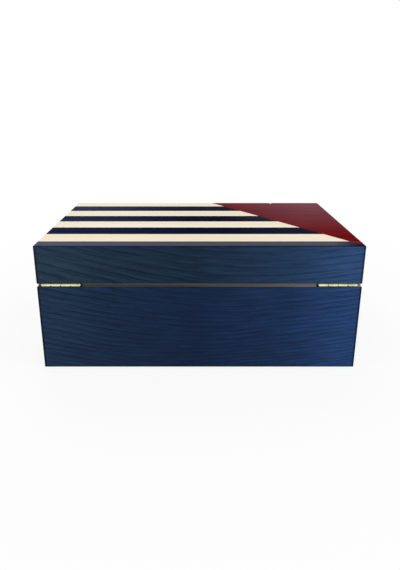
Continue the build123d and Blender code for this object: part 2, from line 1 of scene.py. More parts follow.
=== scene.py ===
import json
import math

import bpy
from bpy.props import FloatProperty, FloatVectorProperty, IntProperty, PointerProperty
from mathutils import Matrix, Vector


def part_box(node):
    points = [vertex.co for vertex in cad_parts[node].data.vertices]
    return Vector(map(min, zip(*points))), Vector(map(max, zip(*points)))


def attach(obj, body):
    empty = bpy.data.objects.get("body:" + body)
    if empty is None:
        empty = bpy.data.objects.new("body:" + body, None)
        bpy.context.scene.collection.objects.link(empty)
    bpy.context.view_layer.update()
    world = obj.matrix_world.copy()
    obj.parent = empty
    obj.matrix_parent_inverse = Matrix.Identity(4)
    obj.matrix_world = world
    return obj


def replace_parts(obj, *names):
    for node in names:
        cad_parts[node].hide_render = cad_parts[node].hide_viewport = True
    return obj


bl_info = {
    "name": "Humidor finishes",
    "version": (1, 0),
    "blender": (4, 5, 0),
    "location": "3D View > Sidebar > Humidor",
    "description": "Veneers, cedar, brass, dial and studio for the packed humidor",
    "category": "Object",
}

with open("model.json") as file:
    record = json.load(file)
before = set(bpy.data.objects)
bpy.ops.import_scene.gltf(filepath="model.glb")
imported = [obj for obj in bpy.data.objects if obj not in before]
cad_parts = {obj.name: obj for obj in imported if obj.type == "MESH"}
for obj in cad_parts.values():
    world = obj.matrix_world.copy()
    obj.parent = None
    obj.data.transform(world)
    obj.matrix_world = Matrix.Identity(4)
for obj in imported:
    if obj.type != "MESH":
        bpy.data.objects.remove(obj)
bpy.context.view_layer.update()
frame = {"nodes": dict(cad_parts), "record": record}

mm = 0.001
weld = 0.002 * mm
quarter_turn = math.radians(90)
hinge_length = 46 * mm
# The painted shade of a hinge barrel's recess reaches this far past the barrel's inner end and round it.
past_inner_end = 2.4 * mm
round_barrel = 0.35 * mm
body_of_node = {
    node: body
    for body, members in frame["record"]["behaviour"]["bodies"].items()
    for node in members
}


def linear(hex_colour):
    """An sRGB hex colour as linear RGB."""
    channels = [int(hex_colour[start:start + 2], 16) / 255 for start in (1, 3, 5)]
    return tuple(c / 12.92 if c <= 0.04045 else ((c + 0.055) / 1.055) ** 2.4 for c in channels)


# Settings that a user would change


def colour_property(name, description, hex_colour):
    return FloatVectorProperty(
        name=name, description=description, default=linear(hex_colour),
        subtype="COLOR", size=3, min=0, max=1,
    )


def length_property(name, description, length):
    return FloatProperty(
        name=name, description=description, default=length, unit="LENGTH", precision=5)


def share_property(name, description, share):
    return FloatProperty(name=name, description=description, default=share, min=0, max=1)


def power_property(name, description, watts):
    return FloatProperty(name=name, description=description, default=watts, unit="POWER")


class HumidorView(bpy.types.PropertyGroup):
    """The camera of the main picture, which looks at the back of the closed box."""

    place: FloatVectorProperty(
        name="Camera place", description="Where the camera stands",
        default=(0.0062, 0.7202, 0.3160), subtype="TRANSLATION", unit="LENGTH",
    )
    tilt: FloatProperty(
        name="Tilt", description="How far the camera looks below the level",
        default=math.radians(19.42), subtype="ANGLE", unit="ROTATION",
    )
    lens: FloatProperty(
        name="Lens", description="Focal length on a 36 mm sensor", default=33.91, unit="CAMERA",
    )
    shift: FloatProperty(
        name="Shift", description="Sideways shift of the picture, as a share of its long side",
        default=0.0103,
    )


class HumidorLight(bpy.types.PropertyGroup):
    """Soft studio light at a plain level."""

    ambient: share_property("Ambient", "Light that comes from all round", 0.53)
    key_power: power_property("Key lamp", "Large soft lamp above the camera", 32.5)
    side_power: power_property("Side lamp", "Soft lamp at the picture's right", 9.0)
    fill_power: power_property("Fill lamp", "Soft lamp on the keyhole's side", 12.0)
    mat_grey: share_property("Mat", "Grey of the mat that only reflections show", 0.95)
    ceiling_grey: share_property("Ceiling", "Grey of the ceiling that only reflections show", 0.45)


class HumidorVeneer(bpy.types.PropertyGroup):
    """Stained veneers under lacquer."""

    # The colours of the -X ends are partly painted light: they are lighter where the side lamp falls.
    lid_left: colour_property("Lid, +X end", "Stain of the lid towards +X", "#233546")
    lid_middle: colour_property("Lid, middle", "Stain of the lid's middle", "#152739")
    lid_right: colour_property("Lid, -X end", "Stain of the lid towards -X", "#2A456C")
    base_left: colour_property("Base, +X end", "Stain of the base towards +X", "#1D3048")
    base_middle: colour_property("Base, middle", "Stain of the base's middle", "#11223D")
    base_right: colour_property("Base, -X end", "Stain of the base towards -X", "#223D67")
    navy: colour_property("Navy", "Blue stripes of the inlay", "#080D28")
    navy_light: colour_property("Navy, light streak", "Lighter grain in the blue stripes", "#18264B")
    ivory: colour_property("Ivory", "Pale stripes and star", "#FEF5E1")
    ivory_dark: colour_property("Ivory, dark streak", "Darker grain in the pale veneer", "#F5E3C7")
    red: colour_property("Red", "Red field", "#7A1216")
    red_dark: colour_property("Red, dark streak", "Darker grain in the red veneer", "#5C0D13")
    ring_spacing: length_property(
        "Ring spacing", "Distance of the grain lines at the foot of the box", 4.9 * mm)
    fibre_width: length_property("Fibre width", "Width of the fine fibres", 0.7 * mm)
    top_gloss: share_property(
        "Gloss of the inlay", "Strength of the polished inlay's reflection", 0.5)
    side_gloss: share_property(
        "Gloss of the back and sides", "Strength of the satin lacquer's reflection", 0.2)


class HumidorWood(bpy.types.PropertyGroup):
    """Bare boards: the core under the veneer, and the cedar inside."""

    core: colour_property("Core", "Bare core board", "#635B4E")
    core_dark: colour_property("Core, dark grain", "Darker grain of the core board", "#463E34")
    cedar: colour_property("Cedar", "Spanish cedar", "#C98F63")
    cedar_dark: colour_property("Cedar, dark grain", "Latewood and pores of the cedar", "#8E5534")
    ring_width: length_property("Ring width", "Growth rings of the boards", 5.5 * mm)
    pore_width: length_property("Pore width", "Open pores of the boards", 0.45 * mm)
    edge_ease: length_property("Eased edge", "Sanding of the boards' edges", 0.5 * mm)


class HumidorMetal(bpy.types.PropertyGroup):
    """Brass and steel fittings."""

    brass: colour_property("Brass", "Polished brass", "#FAF6BE")
    brass_dull: colour_property("Brass, dull", "Handled and slightly tarnished brass", "#D8CA88")
    steel: colour_property("Steel", "Bolt and magnets", "#B8B9BA")
    wear_size: length_property("Wear patches", "Size of the duller patches", 9 * mm)


class HumidorDial(bpy.types.PropertyGroup):
    """The hygrometer's scale."""

    span: FloatProperty(
        name="Span", description="Angle from 0 to 100 percent", default=math.radians(270),
        subtype="ANGLE", unit="ROTATION",
    )
    ticks: IntProperty(name="Ticks", description="Steps of the scale", default=50, min=10)
    number_height: length_property("Number height", "Height of the printed numbers", 3.2 * mm)
    enamel: colour_property("Enamel", "The dial's white face", "#F1EEE2")
    ink: colour_property("Ink", "Printed scale and numbers", "#17181C")
    comfort: colour_property("Comfort band", "Band over the right humidity", "#3F7A4B")


# Tools for materials


def add_node(tree, kind, inputs=(), **settings):
    """Add a shader node with its settings and inputs.

    The inputs are a row in the node's own order, or go by name or number. Each is a value, a
    socket, or a node whose first output is meant.
    """
    node = tree.nodes.new("ShaderNode" + kind)
    for name, value in settings.items():
        setattr(node, name, value)
    for place, value in inputs.items() if isinstance(inputs, dict) else enumerate(inputs):
        if isinstance(value, bpy.types.Node):
            value = value.outputs[0]
        if isinstance(value, bpy.types.NodeSocket):
            tree.links.new(value, node.inputs[place])
        else:
            node.inputs[place].default_value = value
    return node


def empty_tree(owner):
    """The node tree of a new material or world, with nothing in it."""
    owner.use_nodes = True
    owner.node_tree.nodes.clear()
    return owner.node_tree


def new_material(name):
    material = bpy.data.materials.new(name)
    return material, empty_tree(material)


def surface(material, inputs, relief=None, strength=1.0, depth=mm):
    """Finish a material with one Principled shader, and a bump as deep as given where it has relief."""
    tree = material.node_tree
    if relief is not None:
        inputs["Normal"] = add_node(tree, "Bump", {
            "Height": relief, "Strength": strength, "Distance": depth})
    shader = add_node(tree, "BsdfPrincipled", inputs)
    add_node(tree, "OutputMaterial", (shader,))
    return material


def set_stops(ramp, *stops):
    """Give a colour ramp its stops, each a position and a linear colour."""
    elements = ramp.color_ramp.elements
    while len(elements) < len(stops):
        elements.new(1.0)
    for element, (position, colour) in zip(elements, stops):
        element.position = position
        element.color = (*colour, 1.0)


def mixed(first, second, share):
    """A colour part of the way from the first to the second."""
    return tuple(a + (b - a) * share for a, b in zip(first, second))


def object_millimetres(tree, turn=(0, 0, 0), centre=(0, 0, 0)):
    """The piece's own coordinates in millimetres, turned so that the grain runs along X."""
    where = add_node(tree, "TexCoord")
    return add_node(tree, "Mapping", {
        "Vector": where.outputs["Object"], "Scale": (1 / mm,) * 3, "Rotation": turn, "Location": centre,
    })


def stretched_noise(tree, place, lengths, detail, start=(0, 0, 0), **inputs):
    """Noise whose patches are as long as lengths says, in millimetres along X, Y and Z."""
    stretched = add_node(tree, "Mapping", {
        "Vector": place, "Scale": [1 / length for length in lengths], "Location": start})
    return add_node(tree, "TexNoise", {"Vector": stretched, "Scale": 1.0, "Detail": detail, **inputs})


def open_pores(tree, place, length, width, depth):
    """Short open pores along the grain, in millimetres: depth inside a pore and 0 beside it."""
    pores = stretched_noise(tree, place, (length, width, width), 1.0)
    return add_node(tree, "MapRange", (pores, 0.6, 0.7, 0.0, depth))


def from_light_to_dark(tree, value, low, high, light, dark, most=1.0):
    """A colour that goes from light to dark, or most of the way, as a value goes from low to high."""
    share = add_node(tree, "MapRange", (value, low, high, 0.0, most))
    colour = add_node(tree, "Mix", {0: share, 6: (*light, 1), 7: (*dark, 1)}, data_type="RGBA")
    return colour.outputs[2]


def mottled(tree, colour, value, low, high, darkest, lightest):
    """A colour times darkest to lightest, as a value goes from low to high."""
    shade = add_node(tree, "MapRange", (value, low, high, darkest, lightest))
    return add_node(tree, "VectorMath", (tuple(colour), shade), operation="MULTIPLY")


def seen_directly(tree):
    """1 for rays from the camera, a mirror or glass, and 0 for those that only bring light."""
    rays = add_node(tree, "LightPath").outputs
    most = add_node(tree, "Math", (rays["Is Camera Ray"], rays["Is Glossy Ray"]), operation="MAXIMUM")
    return add_node(tree, "Math", (most, rays["Is Transmission Ray"]), operation="MAXIMUM")


# Tools for pieces


def wear(material, *pieces):
    """Put one material on the whole of some pieces, or of CAD nodes given by name."""
    for piece in pieces:
        if isinstance(piece, str):
            piece = frame["nodes"][piece]
        if not piece.material_slots:
            piece.data.materials.append(material)
        for slot in piece.material_slots:
            slot.material = material


def deselect():
    if bpy.context.object and bpy.context.object.mode != "OBJECT":
        bpy.ops.object.mode_set(mode="OBJECT")
    bpy.ops.object.select_all(action="DESELECT")


def pick(*pieces):
    """Select some pieces and nothing else, the last of them active."""
    deselect()
    for piece in pieces:
        piece.select_set(True)
    bpy.context.view_layer.objects.active = pieces[-1]


def settle(piece):
    """Put a piece's place, turn and scale into its mesh."""
    pick(piece)
    bpy.ops.object.transform_apply(location=True, rotation=True, scale=True)
    return piece


def put(piece, place, turn=(0, 0, 0)):
    """Turn a piece and move it to its place."""
    piece.rotation_euler = turn
    piece.location = place
    return settle(piece)


def new_piece(name, add_primitive, scale=(1, 1, 1), **settings):
    """A piece that starts from one of Blender's primitives."""
    deselect()
    add_primitive(**settings)
    piece = bpy.context.object
    piece.name = name
    piece.scale = scale
    return settle(piece)


def begin_edit(piece):
    """Open a piece in edit mode, with all of it selected."""
    pick(piece)
    bpy.ops.object.mode_set(mode="EDIT")
    bpy.ops.mesh.select_all(action="SELECT")


def end_edit():
    bpy.ops.object.mode_set(mode="OBJECT")


def join(name, *pieces):
    """Make one piece of several, with the last one's settings."""
    pick(*pieces)
    bpy.ops.object.join()
    pieces[-1].name = name
    return pieces[-1]


def smooth(piece, degrees=35):
    """Shade a piece smooth, except where its faces meet at a larger angle."""
    pick(piece)
    bpy.ops.object.shade_smooth_by_angle(angle=math.radians(degrees))
    return piece


def apply_modifier(piece, kind, **settings):
    pick(piece)
    modifier = piece.modifiers.new(kind.title(), kind)
    for name, value in settings.items():
        setattr(modifier, name, value)
    bpy.ops.object.modifier_apply(modifier=modifier.name)
    return piece


def stand_for(piece, slot, *nodes):
    """The piece rides where its CAD nodes ride, and is shown for them."""
    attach(piece, body_of_node[nodes[0]])
    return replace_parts(piece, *nodes)


def keep_faces(piece, wanted):
    """Delete the faces of a piece that wanted() turns down."""
    begin_edit(piece)
    bpy.ops.mesh.select_mode(type="FACE")
    bpy.ops.mesh.select_all(action="DESELECT")
    end_edit()
    for face in piece.data.polygons:
        face.select = not wanted(face)
    bpy.ops.object.mode_set(mode="EDIT")
    bpy.ops.mesh.delete(type="FACE")
    bpy.ops.mesh.select_mode(type="VERT")
    end_edit()


def eased_copy(name, node, ease, wanted=None):
    """A copy of a CAD node, or of the faces wanted from it, with the sharp edges eased."""
    piece = bpy.data.objects.new(name, frame["nodes"][node].data.copy())
    bpy.context.scene.collection.objects.link(piece)
    pick(piece)
    bpy.ops.mesh.customdata_custom_splitnormals_clear()
    if wanted:
        keep_faces(piece, wanted)
    begin_edit(piece)
    bpy.ops.mesh.remove_doubles(threshold=weld)
    bpy.ops.mesh.dissolve_limited(angle_limit=math.radians(0.4))
    end_edit()
    apply_modifier(piece, "BEVEL", width=ease, segments=2, limit_method="ANGLE",
                   angle_limit=math.radians(50), use_clamp_overlap=True)
    begin_edit(piece)
    bpy.ops.mesh.remove_doubles(threshold=weld)
    bpy.ops.mesh.dissolve_degenerate(threshold=weld)
    end_edit()
    return apply_modifier(smooth(piece, 40), "WEIGHTED_NORMAL", keep_sharp=True)


def arc(middle, across, up, angles):
    """Points of an oval arc round a middle, at these angles in degrees."""
    turns = [math.radians(angle) for angle in angles]
    return [(middle[0] + across * math.cos(turn), middle[1] + up * math.sin(turn)) for turn in turns]


def turned(name, profile, steps=96):
    """A closed turned shape on the Z axis, drawn out ring by ring through (radius, height) points."""
    radius, height = profile[0]
    piece = new_piece(name, bpy.ops.mesh.primitive_circle_add, vertices=steps, radius=radius,
                      location=(0, 0, height))
    begin_edit(piece)
    for next_radius, next_height in profile[1:]:
        bpy.ops.mesh.extrude_region_move(
            TRANSFORM_OT_translate={"value": (0, 0, next_height - height)})
        share = next_radius / radius
        bpy.ops.transform.resize(value=(share, share, 1), center_override=(0, 0, next_height))
        radius, height = next_radius, next_height
    bpy.ops.mesh.select_all(action="SELECT")
    bpy.ops.mesh.remove_doubles(threshold=weld)
    bpy.ops.mesh.fill_holes(sides=0)
    bpy.ops.mesh.normals_make_consistent(inside=False)
    end_edit()
    return piece


# Materials


def under_lacquer(gloss):
    """Gloss lacquer: the wood under it has no sheen of its own, and only the clear coat reflects."""
    return {"Specular IOR Level": 0.0, "Roughness": 0.6,
            "Coat Weight": gloss, "Coat Roughness": 0.02, "Coat IOR": 1.3}


def crown_cut_blue(name, right, middle, left, half_length, turn=0.0):
    """Crown-cut ash veneer, stained blue and lacquered.

    The eye sees nested arches of dark grain that open upwards, close together at the foot and
    wide apart on the lid, over a colour that goes from grey blue to a clearer blue: partly the
    veneer's own blue and partly painted side light, lighter towards -X. Painted shade darkens
    the two upright edges.
    """
    look = bpy.context.scene.humidor_veneer
    material, tree = new_material(name)
    place = object_millimetres(tree, (0, 0, turn))
    parts = add_node(tree, "SeparateXYZ", (place,)).outputs
    x, z = parts["X"], parts["Z"]
    # The arches lean: their middle moves towards -X on the way up.
    lean, middle_at_foot = 0.8, -36.0
    shift = add_node(tree, "Math", (z, lean, middle_at_foot), operation="MULTIPLY_ADD")
    from_middle = add_node(tree, "Math", (x, shift), operation="ADD")
    # Each arch is round over this width and straight further out, and steeper higher up.
    round_width, slope_at_foot, steeper = 130.0, 0.19, 0.0004
    squared = add_node(tree, "Math", (from_middle, from_middle), operation="MULTIPLY")
    rounded = add_node(tree, "Math", (squared, round_width ** 2), operation="ADD")
    root = add_node(tree, "Math", (rounded,), operation="SQRT")
    rise = add_node(tree, "Math", (root, round_width), operation="SUBTRACT")
    slope = add_node(tree, "Math", (z, steeper, slope_at_foot), operation="MULTIPLY_ADD")
    arch = add_node(tree, "Math", (rise, slope), operation="MULTIPLY")
    level = add_node(tree, "Math", (z, arch), operation="SUBTRACT")
    wander = stretched_noise(tree, place, (150, 1, 40), 2.0)
    level = add_node(tree, "Math", (wander, 10.0, level), operation="MULTIPLY_ADD")
    # Rings widen slowly with height: their count falls off exponentially.
    widening = 250.0
    rings = widening * mm / look.ring_spacing
    thinned = add_node(tree, "Math", (level, -1 / widening), operation="MULTIPLY")
    falling = add_node(tree, "Math", (thinned,), operation="EXPONENT")
    count = add_node(tree, "Math", (falling, -rings), operation="MULTIPLY")
    ring = add_node(tree, "Math", (count,), operation="FRACT")
    line = add_node(tree, "Math", (ring, 3.5), operation="POWER")
    # The lines fade in patches, and their pores are fuller of stain towards the two ends.
    patch = stretched_noise(tree, place, (90, 1, 22), 3.0, (3, 0, 7))
    shown = add_node(tree, "MapRange", (patch, 0.35, 0.65, 0.4, 1.0))
    outwards = add_node(tree, "Math", (from_middle,), operation="ABSOLUTE")
    fuller = add_node(tree, "MapRange", (outwards, 20.0, 150.0, 0.6, 1.1))
    for share in (shown, fuller):
        line = add_node(tree, "Math", (line, share), operation="MULTIPLY")
    shade = add_node(tree, "MapRange", (line, 0.0, 1.0, 1.1, 0.42))
    # Fibres follow the arches too, the coarsest of them drawn wide enough to show.
    along_arches = add_node(tree, "CombineXYZ", (x, 0.0, level))
    fibre_depth = look.fibre_width / (0.4 * mm)
    fibre = stretched_noise(tree, along_arches, (45, 1, fibre_depth), 4.0, Roughness=0.65)
    streak = add_node(tree, "MapRange", (fibre, 0.35, 0.65, 0.74, 1.28))
    pore = open_pores(tree, along_arches, 8.0, 0.35, 0.4)
    sound = add_node(tree, "Math", (1.04, pore), operation="SUBTRACT")
    # Painted shade along the two upright edges, where their rounded corners reflect dark.
    from_centre = add_node(tree, "Math", (x,), operation="ABSOLUTE")
    painted_edge_shade = add_node(tree, "MapRange", (from_centre, half_length - 3.4, half_length - 1.6, 1.0, 0.3))
    for share in (streak, sound, painted_edge_shade):
        shade = add_node(tree, "Math", (shade, share), operation="MULTIPLY")
    # The colour is lighter at the two ends than between them: partly the veneer's own stain, and partly
    # painted light from the side lamp, which makes the -X end lighter.
    cloud = stretched_noise(tree, place, (90, 1, 22), 1.0, (3, 0, 7), Scale=0.9)
    across = add_node(tree, "Math", (cloud, 50.0, x), operation="MULTIPLY_ADD")
    across = add_node(tree, "MapRange", (across, -148.0, 198.0))
    stain_and_side_light = add_node(tree, "ValToRGB", (across,))
    set_stops(stain_and_side_light, (0.0, right), (0.19, mixed(middle, right, 0.35)), (0.5, middle),
              (0.81, mixed(middle, left, 0.35)), (1.0, left))
    colour = add_node(tree, "VectorMath", (stain_and_side_light, shade), operation="MULTIPLY")
    return surface(material, {"Base Color": colour, **under_lacquer(look.side_gloss)})


def straight_veneer(name, light, dark, contrast, pore_depth, centre=(0, 0, 0), ends=(1.0, 1.0)):
    """Straight-grained veneer, stained or natural, and lacquered: streaks and pores along each stripe.

    Its shade goes from the first of the ends in the middle of the box to the second towards +X.
    """
    look = bpy.context.scene.humidor_veneer
    material, tree = new_material(name)
    place = object_millimetres(tree, centre=centre)
    fibre = look.fibre_width / mm
    broad = stretched_noise(tree, place, (220, 9, 9), 3.0)
    fine = stretched_noise(tree, place, (60, fibre, fibre), 2.0)
    streak = add_node(tree, "Math", (fine, 0.4, broad), operation="MULTIPLY_ADD")
    colour = from_light_to_dark(tree, streak, 0.7 - contrast, 0.7 + contrast, light, dark)
    pore = open_pores(tree, place, 9.0, 0.35, pore_depth)
    sound = add_node(tree, "Math", (1.0, pore), operation="SUBTRACT")
    x = add_node(tree, "SeparateXYZ", (place,)).outputs["X"]
    towards_left = add_node(tree, "MapRange", (x, 10.0, 105.0, *ends))
    shade = add_node(tree, "Math", (sound, towards_left), operation="MULTIPLY")
    tint = add_node(tree, "VectorMath", (colour, shade), operation="MULTIPLY")
    return surface(material, {"Base Color": tint, **under_lacquer(look.top_gloss)})


def bare_board(name, light, dark, turn=0.0):
    """Sanded bare board: growth rings cut lengthwise, with fine open pores along the grain."""
    look = bpy.context.scene.humidor_wood
    material, tree = new_material(name)
    place = object_millimetres(tree, (0, 0, turn))
    parts = add_node(tree, "SeparateXYZ", (place,)).outputs
    section = add_node(tree, "CombineXYZ", (parts["Y"], parts["Z"]))
    # The heart of the log lies well below and to one side of the boards.
    heart = (-60.0, -140.0, 0.0)
    from_heart = add_node(tree, "VectorMath", (section, heart), operation="DISTANCE").outputs["Value"]
    wander = stretched_noise(tree, place, (260, 45, 45), 2.0)
    radius = add_node(tree, "Math", (wander, 22.0, from_heart), operation="MULTIPLY_ADD")
    count = add_node(tree, "Math", (radius, look.ring_width / mm), operation="DIVIDE")
    ring = add_node(tree, "Math", (count,), operation="FRACT")
    late = add_node(tree, "Math", (ring, 2.5), operation="POWER")
    fibre = stretched_noise(tree, place, (35, 1, 1), 4.0)
    figure = add_node(tree, "Math", (late, 0.38, fibre), operation="MULTIPLY_ADD")
    colour = from_light_to_dark(tree, figure, 0.35, 1.1, light, dark, 0.85)
    pore = open_pores(tree, place, 9.0, look.pore_width / mm, 0.45)
    in_pore = (*[channel * 0.45 for channel in dark], 1)
    shade = add_node(tree, "Mix", {0: pore, 6: colour, 7: in_pore}, data_type="RGBA")
    relief = add_node(tree, "Math", (pore, -1.0, fibre), operation="MULTIPLY_ADD")
    return surface(material, {
        "Base Color": shade.outputs[2],
        "Roughness": add_node(tree, "MapRange", (fibre, 0.3, 0.7, 0.5, 0.68)),
    }, relief, 0.35, 0.12 * mm)


def stained_at_the_hinges(material):
    """Paint shade on a core board in the hinge barrels' recesses and on the groove's lower face.

    Painted light makes the wood paler towards -X, on the side lamp's side, and palest in the groove.
    """
    tree = material.node_tree
    shader = tree.nodes["Principled BSDF"]
    plain = shader.inputs["Base Color"].links[0].from_socket
    pins_low, pins_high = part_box("hinge_pins")
    outer_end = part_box("hinge_base_leaves")[1]
    axis = (pins_low + pins_high) / 2
    radius = outer_end.y - axis.y + round_barrel
    reach = outer_end.x - hinge_length - past_inner_end
    x, y, z = add_node(tree, "SeparateXYZ", (object_millimetres(tree),)).outputs
    section = add_node(tree, "CombineXYZ", (y, z))
    axis_place = (axis.y / mm, axis.z / mm, 0)
    off_axis = add_node(tree, "VectorMath", (section, axis_place), operation="DISTANCE")
    # Painted shade: near black inside the hinge barrels' recesses, where light hardly reaches.
    painted_recess_shade = add_node(tree, "Math", (off_axis.outputs["Value"], radius / mm), operation="LESS_THAN")
    side = add_node(tree, "Math", (x,), operation="ABSOLUTE")
    past_reach = add_node(tree, "Math", (side, reach / mm), operation="GREATER_THAN")
    inside_end = add_node(tree, "Math", (side, outer_end.x / mm), operation="LESS_THAN")
    for share in (past_reach, inside_end):
        painted_recess_shade = add_node(tree, "Math", (painted_recess_shade, share), operation="MULTIPLY")
    below = add_node(tree, "Math", (z, axis.z / mm), operation="LESS_THAN")
    behind = add_node(tree, "Math", (y, axis.y / mm), operation="GREATER_THAN")
    # Painted shade on the groove's lower face: strongest towards +X and faint towards -X, where the side
    # lamp falls.
    painted_groove_shade = add_node(tree, "MapRange", (x, -170.0, 30.0, 0.2, 0.8))
    for share in (below, behind):
        painted_groove_shade = add_node(tree, "Math", (painted_groove_shade, share), operation="MULTIPLY")
    # Painted light from the side lamp: paler towards -X, and paler still in the groove.
    painted_side_light = add_node(tree, "MapRange", (x, -150.0, 30.0, 1.55, 1.1))
    painted_groove_light = add_node(tree, "MapRange", (x, -185.0, -60.0, 1.1, 0.0))
    painted_side_light = add_node(tree, "Math", (behind, painted_groove_light, painted_side_light), operation="MULTIPLY_ADD")
    colour = add_node(tree, "VectorMath", (plain, painted_side_light), operation="MULTIPLY").outputs[0]
    # Mix the painted shades into the wood: the groove's lower face, then the recesses.
    for share, dark in ((painted_groove_shade, "#1B1A18"), (painted_recess_shade, "#0A0806")):
        mix = add_node(tree, "Mix", {0: share, 6: colour, 7: (*linear(dark), 1)}, data_type="RGBA")
        colour = mix.outputs[2]
    tree.links.new(colour, shader.inputs["Base Color"])
    return material


def polished_metal(name, bright, dull, roughness):
    """Turned or stamped metal, polished and then handled: mirror bright with duller patches."""
    look = bpy.context.scene.humidor_metal
    material, tree = new_material(name)
    place = object_millimetres(tree)
    patches = add_node(tree, "TexNoise", {
        "Vector": place, "Scale": mm / look.wear_size, "Detail": 4.0, "Roughness": 0.6})
    scratch = stretched_noise(tree, place, (20 / 3, 1 / 6, 1 / 6), 2.0)
    return surface(material, {
        "Base Color": from_light_to_dark(tree, patches, 0.45, 0.75, bright, dull),
        "Metallic": 1.0,
        "Roughness": add_node(tree, "MapRange", (patches, 0.45, 0.75, roughness, roughness + 0.14)),
    }, scratch, 0.12, 0.02 * mm)


def moulded_plastic(name, hex_colour, roughness):
    """Moulded ABS with a fine spark-eroded grain and faint flow marks."""
    material, tree = new_material(name)
    place = object_millimetres(tree)
    flow = stretched_noise(tree, place, (40, 12, 12), 3.0)
    grain = add_node(tree, "TexNoise", {"Vector": place, "Scale": 2.2, "Detail": 2.0})
    return surface(material, {
        "Base Color": mottled(tree, linear(hex_colour), flow, 0.3, 0.7, 0.8, 1.25),
        "Roughness": add_node(tree, "MapRange", (grain, 0.3, 0.7, roughness - 0.05, roughness + 0.08)),
    }, grain, 0.3, 0.04 * mm)


def clear_glass(name):
    """Float glass of a watch crystal: flat and clear, with a sharp reflection."""
    material, tree = new_material(name)
    haze = add_node(tree, "TexNoise", {"Vector": object_millimetres(tree), "Scale": 0.3, "Detail": 3.0})
    return surface(material, {
        "Base Color": add_node(tree, "MapRange", (haze, 0.3, 0.7, 0.95, 1.0)),
        "Roughness": 0.0, "IOR": 1.45, "Transmission Weight": 1.0,
    })


def enamel(name, colour, roughness):
    """Printed or stove-enamelled sheet metal: an even coat with a slight orange peel."""
    material, tree = new_material(name)
    peel = add_node(tree, "TexNoise", {"Vector": object_millimetres(tree), "Scale": 1.4, "Detail": 1.0})
    return surface(material, {
        "Base Color": mottled(tree, colour, peel, 0.3, 0.7, 0.96, 1.0),
        "Roughness": roughness,
    }, peel, 0.1, 0.02 * mm)


def open_foam(name, hex_colour):
    """Open-celled florist's foam: pits about a millimetre across between pale walls, darkened with painted
    shade.
    """
    material, tree = new_material(name)
    # The dark in the cells' pits is painted shade.
    cells = add_node(tree, "TexVoronoi", {"Vector": object_millimetres(tree), "Scale": 1.1}, feature="F1")
    return surface(material, {
        "Base Color": mottled(tree, linear(hex_colour), cells, 0.05, 0.6, 0.25, 1.0),
        "Roughness": 0.95, "Specular IOR Level": 0.1,
    }, cells, 0.8, 0.5 * mm)


def pressed_felt(name, hex_colour):
    """Pressed wool felt: matt, with short tangled fibres and a soft sheen at the edge."""
    material, tree = new_material(name)
    tangle = add_node(tree, "TexNoise", {
        "Vector": object_millimetres(tree), "Scale": 1.6, "Detail": 5.0, "Distortion": 1.5})
    return surface(material, {
        "Base Color": mottled(tree, linear(hex_colour), tangle, 0.3, 0.7, 0.6, 1.3),
        "Roughness": 1.0, "Specular IOR Level": 0.1, "Sheen Weight": 0.4,
    }, tangle, 0.6, 0.2 * mm)


# The stage


def soft_lamp(name, place, size, power):
    """A square soft lamp aimed at the middle of the box."""
    aim = Vector((0, 0, 0.08))
    turn = (aim - Vector(place)).to_track_quat("-Z", "Y").to_euler()
    bpy.ops.object.light_add(type="AREA", location=place, rotation=turn)
    lamp = bpy.context.object
    lamp.name = name
    lamp.data.size = size
    lamp.data.energy = power
    return lamp


